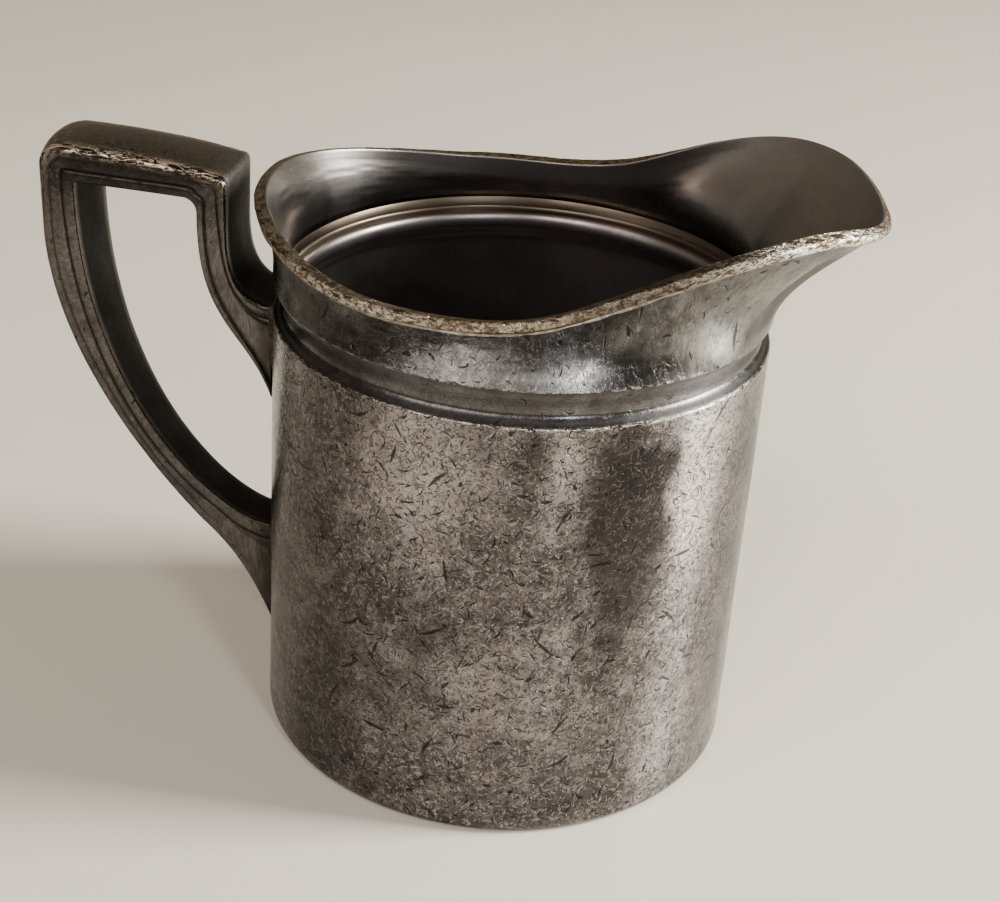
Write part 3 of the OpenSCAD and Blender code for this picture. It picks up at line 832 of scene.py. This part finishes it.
def handle_pairs():
    """Matching points on the side face's outer and inner edges, in X and Z."""
    knee = [-50.2, 27.7]
    gap_x, gap_z, in_x, back_x = EDGE_X + 5.4, 85.3, -49.5, -44.9
    tail = bezier([[-38.0, TAIL_Z + 0.3], [-41.4, 16.9], [-43.2, 21.4], knee], 60)
    limb = bezier([knee, [-61.6, 39.5], [EDGE_X - 0.6, 58.5], [EDGE_X, 79]], 120)
    gap = bezier([[-38.0, 28.7], [-47, 28.3], [-68.6, 47], [gap_x, 83.5]], 400)
    cut = int(np.searchsorted(run_length(gap), 11.0))
    top_i = int(np.argmin(np.abs(gap[:, 1] - 79)))
    co, ci = 3.0, 2.2
    ocorner = arc(EDGE_X + co, EDGE_Z - co, co, 180, 90, 40)
    top = bezier([[EDGE_X + co, EDGE_Z], [-60, EDGE_Z], [-52, EDGE_Z - 0.9],
                  [back_x - 1.2, EDGE_Z - 2]], 60)
    icorner = arc(gap_x + 0.5, gap_z - 0.5, 0.5, 180, 90, 20)
    rcorner_o = arc(back_x - 1.2, EDGE_Z - 3.2, 1.2, 90, 0, 20)
    rcorner_i = arc(in_x - ci, gap_z - 0.3 - ci, ci, 90, 0, 20)
    seat = bezier([[back_x, 79.5], [back_x, 73.5], [-43.6, 68.8], [-38.0, 68.6]], 80)
    inner = bezier([[in_x, 81.5], [in_x, 64], [-42, 64], [-38.2, 52.6]], 120)
    runs = [
        (resample(tail, 30), resample(gap[:cut + 1], 30)),
        (resample(limb, 72), resample(gap[cut:top_i + 1], 72)),
        (resample([limb[-1], ocorner[0]], 9), resample(chain(gap[top_i:], [icorner[0]]), 9)),
        (resample(ocorner, 16), resample(icorner, 16)),
        (resample(top, 40), resample([icorner[-1], rcorner_i[0]], 40)),
        (resample(rcorner_o, 16), resample(rcorner_i, 16)),
        (resample(chain([rcorner_o[-1]], seat), 60), resample(chain([rcorner_i[-1]], inner), 60)),
    ]
    kind = np.concatenate([np.full(len(o) - (k > 0), k) for k, (o, i) in enumerate(runs)])
    outer = chain(runs[0][0], *[o[1:] for o, _ in runs[1:]])
    inn = chain(runs[0][1], *[i[1:] for _, i in runs[1:]])
    return outer, inn, kind


def by_run(kind, values, width=11):
    """One value per run, smoothed along the stations so that nothing jumps."""
    v = np.array([values[k] for k in kind], float)
    pad = np.pad(v, width // 2, mode="edge")
    return np.convolve(pad, np.ones(width) / width, mode="valid")


# An engraved line's section: share of its width, and share of its depth.
GROOVE_CUT = ((0.0, 0.0), (0.25, 0.75), (0.5, 1.0), (0.75, 0.75), (1.0, 0.0))


# How many section points lie on the handle's outer face.
CROWN_COLS = 13


def build_handle():
    """The cast handle: two side faces with engraved lines, a crown and an inner face."""
    outer, inn, kind = handle_pairs()
    ns = len(outer)
    span = outer - inn
    length = np.linalg.norm(span, axis=1)
    u = span / length[:, None]
    slant = np.ones(ns)
    for edge in (inn, outer):
        t = np.gradient(edge, axis=0)
        t /= np.linalg.norm(t, axis=1)[:, None] + 1e-9
        lean = 1 / np.maximum(np.abs(u[:, 0] * -t[:, 1] + u[:, 1] * t[:, 0]), 0.6)
        slant = np.maximum(slant, np.where(np.isin(kind, (3, 5)), 1.0, lean))
    corner = 1 / np.maximum(np.abs(u[:, 0]), np.abs(u[:, 1]))
    slant = np.where(np.isin(kind, (3, 5)), corner, slant)
    slant = np.convolve(np.pad(slant, 2, mode="edge"), np.ones(5) / 5, mode="valid")
    flat = np.ones(ns)
    # Widths of the border, the lines and the outer edge, in mm, for each run.
    border = by_run(kind, (1.5, 1.6, 1.7, 1.75, 1.6, 1.1, 1.0)) * slant
    line = 0.42 * slant
    edge_line = by_run(kind, (0.0, 0.55, 0.6, 0.3, 0.06, 0.6, 1.0))
    # Painted shade on the crown of the tail and of the back that faces the body.
    crown_shade = by_run(kind, (0.35, 0.15, 0.0, 0.0, 0.0, 0.75, 1.0), 15)
    edge_gap = by_run(kind, (1.3, 1.35, 1.35, 1.35, 1.3, 1.3, 1.25)) * np.minimum(slant, 1.5)
    crown = by_run(kind, (0.3, 0.5, 0.7, 0.9, 1.0, 1.1, 1.1), 21)
    bev_i, bev_o = 0.4, 0.75
    # Per section point: distance from the inner edge with the inset from the side
    # face, how dark it is, and how worn.
    cols, cuts, wears = [], [], []

    def add(d, inset, dark=0.0, worn=0.0):
        """One more section point, the same along the whole handle if given a number."""
        cols.append((d * flat, inset * flat))
        cuts.append(dark * flat)
        wears.append(worn * flat)

    for f in np.linspace(0, 1, 5):
        a = math.pi / 2 * f
        add(bev_i * (1 - math.cos(a)), bev_i * (1 - math.sin(a)))
    add(bev_i + (border - bev_i) * 0.35, -0.07)
    add(bev_i + (border - bev_i) * 0.7, -0.05)
    for f, deep in GROOVE_CUT:
        add(border + line * f, 0.3 * deep, deep)
    start2 = border + line
    line2 = np.maximum(length - edge_gap - 0.4, start2 + (length - bev_o - start2) * 0.5)
    for f in (0.25, 0.55, 0.85):
        add(start2 + (line2 - start2) * f, -0.03)
    for f, deep in GROOVE_CUT:
        place = np.minimum(line2 + 0.36 * f, length - bev_o - 0.05 * (1 - f))
        add(place, 0.26 * deep * edge_line, deep * edge_line)
    worn_run = by_run(kind, (0.0, 0.03, 0.15, 0.8, 1.0, 0.5, 0.05))
    corner_worn = by_run(kind, (0.0, 0.0, 0.15, 0.3, 0.0, 0.0, 0.0))
    for f in np.linspace(0, 1, 8):
        a = math.pi / 2 * f
        add(length - bev_o + bev_o * math.sin(a), bev_o * (1 - math.cos(a)), 0.0,
            worn_run * math.sin(math.pi * min(1.0, 0.1 + 0.55 * f)))
    nside = len(cols)

    def at(c, side):
        """The points of column c on one side face."""
        d, inset = cols[c]
        q = inn + u * d[:, None]
        return np.stack([q[:, 0], side * (half_w(q[:, 1]) - inset), q[:, 1]], 1)

    def paint(c):
        """The mask of column c."""
        return np.stack([wears[c], cuts[c], 0 * flat], 1)

    loop = [at(c, -1) for c in range(nside)]
    mask = [paint(c) for c in range(nside)]
    edge_o = half_w(outer[:, 1]) - bev_o
    for f in np.linspace(-1, 1, CROWN_COLS + 2)[1:-1]:
        q = outer + u * (crown * (1 - abs(f) ** 2.2))[:, None]
        loop.append(np.stack([q[:, 0], edge_o * f, q[:, 1]], 1))
        worn = np.maximum(worn_run * min(1.0, max(0.0, (abs(f) - 0.8) / 0.15)), corner_worn * (f < 0.6))
        mask.append(np.stack([worn, crown_shade * (1 - 0.12 * (f + 1)), 0 * flat], 1))
    loop += [at(c, 1) for c in range(nside - 1, -1, -1)]
    mask += [paint(c) for c in range(nside - 1, -1, -1)]
    # The inner face, darkened nearly all over with painted shade.
    edge_i = half_w(inn[:, 1]) - bev_i
    for f in np.linspace(1, -1, 9)[1:-1]:
        loop.append(np.stack([inn[:, 0], edge_i * f, inn[:, 1]], 1))
        mask.append(np.stack([0 * flat, (0.97 - 0.12 * smooth(f + 0.2)) * flat, 0 * flat], 1))
    P = np.stack(loop, 1)
    M = np.stack(mask, 1)
    M = np.concatenate([M, np.ones(M.shape[:2] + (1,))], -1)
    far = nside + CROWN_COLS
    M[:, nside:far, 3] = 1 - by_run(kind, (0, 0, 0, 1.0, 0.8, 0.4, 0))[:, None]
    on_top = by_run(kind, (0, 0, 0, 0.6, 1.0, 0.6, 0.15))[:, None]
    M[:, :nside, 2] = np.maximum(M[:, :nside, 2], on_top)
    side_lift = by_run(kind, (0.3, 0.15, 0, 0, 0, 0, 0.1))[:, None]
    M[:, :nside, 3] = 1 - side_lift
    M[:, far:far + nside, 3] = 1 - side_lift
    root = smooth((P[..., 0] + 42.5) / 4.0)
    M[..., 2] = np.maximum(M[..., 2], 0.9 * root)
    nl = P.shape[1]
    along = np.linspace(0, 1, ns)[:, None] * np.ones((1, nl))
    across = np.linspace(0, 1, nl)[None] * np.ones((ns, 1))
    uneven = 0.035 * noise(across, along, 14, 40, 51) + 0.02 * noise(across, along, 30, 110, 52)
    P[..., 1] += np.sign(P[..., 1]) * uneven
    # The mesh: sections along the handle, with surface coordinates in mm.
    quads, uvs = [], []
    s = run_length((outer + inn) / 2)
    girth = run_length(P[ns // 2])
    girth = np.append(girth, girth[-1] + 1.2)
    for i in range(ns - 1):
        for j in range(nl):
            j2 = (j + 1) % nl
            quads.append((i * nl + j, (i + 1) * nl + j, (i + 1) * nl + j2, i * nl + j2))
            uvs += [(s[i], girth[j]), (s[i + 1], girth[j]), (s[i + 1], girth[j + 1]), (s[i], girth[j + 1])]
    ob = make_mesh("jug_handle", P.reshape(-1, 3), quads, uvs, [M_HANDLE], None, M.reshape(-1, 4))
    cap_ends(ob, ns, nl)
    return ob


def cap_ends(ob, ns, nl):
    """Closes the two ends, which lie inside the body wall."""
    bm = bmesh.new()
    bm.from_mesh(ob.data)
    bm.verts.ensure_lookup_table()
    layer = bm.loops.layers.uv["surf"]
    for k in (0, ns - 1):
        f = bm.faces.new([bm.verts[k * nl + j] for j in range(nl)])
        for lp in f.loops:
            lp[layer].uv = (0, 0)
    bmesh.ops.recalc_face_normals(bm, faces=bm.faces)
    bm.to_mesh(ob.data)
    bm.free()


def build_joint(name, root, spread, seed):
    """A low solder fillet on the body round the handle's root, between two heights."""
    z0, z1 = root
    nu, nv = 90, 120
    zc, hz = (z0 + z1) / 2, (z1 - z0) / 2
    ymax = float(half_w(z1)) + spread
    y = np.linspace(-ymax, ymax, nu)[:, None] * np.ones((1, nv))
    z = np.ones((nu, 1)) * np.linspace(z0 - spread, z1 + spread, nv)[None]
    hw = half_w(z) * (0.55 + 0.45 * smooth((z - z0) / (hz * 0.9)))
    dy, dz = np.abs(y) - hw, np.abs(z - zc) - hz
    dist = np.hypot(np.maximum(dy, 0), np.maximum(dz, 0)) + np.minimum(np.maximum(dy, dz), 0)
    un = np.linspace(0, 1, nu)[:, None] * 0.9
    vn = np.linspace(0, 1, nv)[None]
    ragged = 0.25 * noise(un, vn, 9, 14, seed) + 0.12 * noise(un, vn, 30, 40, seed + 1)
    h = 1.0 * smooth(1 - (dist + 0.2 + ragged) / spread) ** 1.6
    h = np.where(dist < 0, np.maximum(h, 0.3), h) - 0.06
    r = BODY_R + h
    th = math.pi - y / BODY_R
    top = turn(r, z, th)
    back = turn(BODY_R - 0.5, z, th)
    verts = np.concatenate([top.reshape(-1, 3), back.reshape(-1, 3)])
    quads, n = [], nu * nv
    for i in range(nu - 1):
        for j in range(nv - 1):
            a = i * nv + j
            quads.append((a, a + 1, a + nv + 1, a + nv))
            quads.append((n + a, n + a + nv, n + a + nv + 1, n + a + 1))
    edge = ([i * nv for i in range(nu)] + [(nu - 1) * nv + j for j in range(1, nv)]
            + [i * nv + nv - 1 for i in range(nu - 2, -1, -1)] + list(range(nv - 2, 0, -1)))
    for k in range(len(edge)):
        a, b = edge[k], edge[(k + 1) % len(edge)]
        quads.append((a, b, n + b, n + a))
    uvs = [(verts[v][1], verts[v][2]) for q in quads for v in q]
    return make_mesh(name, verts, quads, uvs, [M_SOLDER])


PIECES = [
    (build_body(), "body_shell", "body_silver"),
    (build_collar(), "spout_collar", "collar_silver"),
    (build_rim(), "rim_wire", "rim_metal"),
    (build_seam(), "rim_solder_seam", "seam_solder"),
    (build_handle(), "handle", "handle_silver"),
    (build_joint("jug_upper_joint", UPPER_ROOT, 1.5, 61), "upper_solder_joint", "joint_solder"),
    (build_joint("jug_lower_joint", LOWER_ROOT, 1.5, 71), "lower_solder_joint", "joint_solder"),
]
for piece, node, slot_name in PIECES:
    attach(piece, "root")
    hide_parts(node)


# ------------------------------------------------------------------- staging
def floor_material():
    """Pale, slightly cloudy and slightly shiny."""
    n = Nodes("pale_floor")
    cloud = n.noise(n.pos(0.004, 1.0), 3.0, 0.5, 0.0)
    tone = n.ramp(cloud, (0.3, (0.78, 0.725, 0.63)), (0.7, (0.81, 0.765, 0.685)))
    n.link(tone, n.bsdf.inputs["Base Color"])
    n.link(n.span(cloud, 0.3, 0.7, 0.30, 0.22), n.bsdf.inputs["Roughness"])
    return n.mat


def build_floor():
    """A plain table top, 6 m wide, with the jug in its middle."""
    me = bpy.data.meshes.new("floor")
    half = 3.0
    corners = [(-half, -half, 0), (half, -half, 0), (half, half, 0), (-half, half, 0)]
    me.from_pydata(corners, [], [(0, 1, 2, 3)])
    me.materials.append(floor_material())
    ob = bpy.data.objects.new("floor", me)
    bpy.context.scene.collection.objects.link(ob)


JUG_MIDDLE = Vector((0, 0, 0.05))


def area_light(name, at, size, power, colour):
    """A rectangular light that shines at the middle of the jug."""
    data = bpy.data.lights.new(name, "AREA")
    data.shape = "RECTANGLE"
    data.size, data.size_y = size
    data.energy = power
    data.color = colour
    ob = bpy.data.objects.new(name, data)
    ob.location = at
    ob.rotation_euler = (JUG_MIDDLE - Vector(at)).to_track_quat("-Z", "Y").to_euler()
    bpy.context.scene.collection.objects.link(ob)


def build_world():
    """A plain warm room colour."""
    w = bpy.data.worlds.new("soft_room")
    bpy.context.scene.world = w
    w.use_nodes = True
    bg = w.node_tree.nodes["Background"]
    bg.inputs["Color"].default_value = (0.25, 0.21, 0.145, 1)
    bg.inputs["Strength"].default_value = 0.9


# The camera's place in mm and its turns in radians; the focal length and the
# picture's width share one unit, so that only their ratio counts.
CAMERA_AT = (32.8, -257.6, 185.1)
YAW, PITCH, ROLL = 0.1339, 0.4915, 0.0723
FOCAL, PICTURE_W, SENSOR_MM = 1848.0, 1000.0, 36.0


def build_camera():
    """The camera, turned by YAW, tipped down by PITCH and rolled by ROLL."""
    f = Vector((-math.sin(YAW) * math.cos(PITCH), math.cos(YAW) * math.cos(PITCH), -math.sin(PITCH)))
    r = Vector((math.cos(YAW), math.sin(YAW), 0))
    u = r.cross(f)
    c, s = math.cos(ROLL), math.sin(ROLL)
    r2, u2 = c * r + s * u, -s * r + c * u
    data = bpy.data.cameras.new("camera")
    data.sensor_width = SENSOR_MM
    data.sensor_fit = "HORIZONTAL"
    data.lens = SENSOR_MM * FOCAL / PICTURE_W
    data.clip_start = 0.01
    ob = bpy.data.objects.new("camera", data)
    m = Matrix((r2, u2, -f)).transposed().to_4x4()
    m.translation = Vector(CAMERA_AT) * MM
    ob.matrix_world = m
    bpy.context.scene.collection.objects.link(ob)
    bpy.context.scene.camera = ob


build_floor()
build_world()
area_light("window_right", (0.85, 0.12, 0.42), (0.28, 0.45), 27.5, (1.0, 0.98, 0.90))
area_light("room_front", (-0.45, -0.95, 0.95), (1.0, 0.8), 10.6, (1.0, 0.92, 0.87))
area_light("lamp_front", (0.42, -0.62, 0.52), (0.08, 0.4), 2.2, (0.95, 0.98, 1.0))
build_camera()
